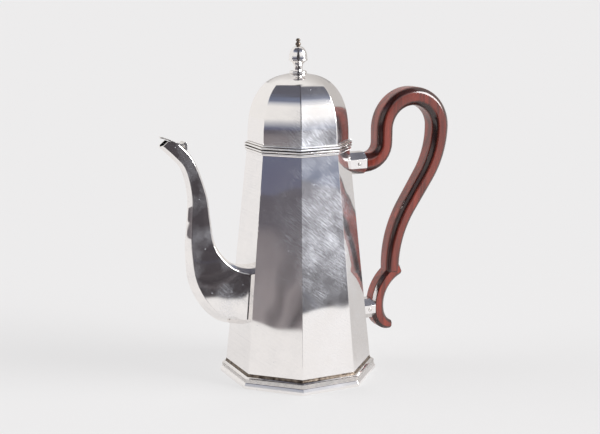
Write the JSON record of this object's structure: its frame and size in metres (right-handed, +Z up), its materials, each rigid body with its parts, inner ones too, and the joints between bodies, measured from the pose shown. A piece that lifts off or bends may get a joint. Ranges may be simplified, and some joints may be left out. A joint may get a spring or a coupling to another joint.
{
  "type": "coffee pot",
  "caption": "Tall tapering faceted coffee pot with a swan-neck spout under a hinged flap, a hinged domed lid with an acorn finial, and a wooden scroll handle pinned into sockets.",
  "frame": {"origin": "on the pot's axis at the table it stands on", "axes": "+Z up the pot's axis, -X towards the spout, +X towards the handle, +Y across; the plane Y = 0 halves the pot"},
  "size_m": [0.2348, 0.1092, 0.25],
  "materials": {
    "polished_silver": "hand-polished silver with fine swirl scratches",
    "fitting_silver": "filed and rubbed silver, duller than the polished faces",
    "rosewood": "dark red close-grained wood under a clear polish"
  },
  "bodies": {
    "pot": {"body_shell": "polished_silver", "base_plate": "polished_silver", "foot_plinth": "polished_silver", "foot_moulding": "polished_silver", "rim_moulding": "polished_silver", "spout": "polished_silver", "spout_hinge_lug": "fitting_silver", "flap_hinge_pin": "fitting_silver", "upper_socket": "polished_silver", "upper_socket_pin": "fitting_silver", "lower_socket": "polished_silver", "lower_socket_pin": "fitting_silver", "wooden_handle": "rosewood", "body_hinge_leaf": "fitting_silver", "lid_hinge_pin": "fitting_silver"},
    "lid": {"lid_flange": "polished_silver", "lid_bezel": "polished_silver", "lid_dome": "polished_silver", "lid_hinge_leaf": "fitting_silver", "finial_stem": "polished_silver", "finial_acorn": "polished_silver", "finial_tip": "polished_silver", "finial_stud": "fitting_silver", "finial_washer": "fitting_silver", "finial_nut": "fitting_silver"},
    "flap": {"spout_flap": "polished_silver"}
  },
  "joints": [
    {"name": "lid_hinge", "type": "hinge", "parent": "pot", "child": "lid", "pos_m": [0.039, 0, 0.17315], "axis": [0, 1, 0], "range_deg": [0, 60]},
    {"name": "flap_hinge", "type": "hinge", "parent": "pot", "child": "flap", "pos_m": [-0.08943, 0, 0.1794], "axis": [0, 1, 0], "range_deg": [0, 75]}
  ]
}
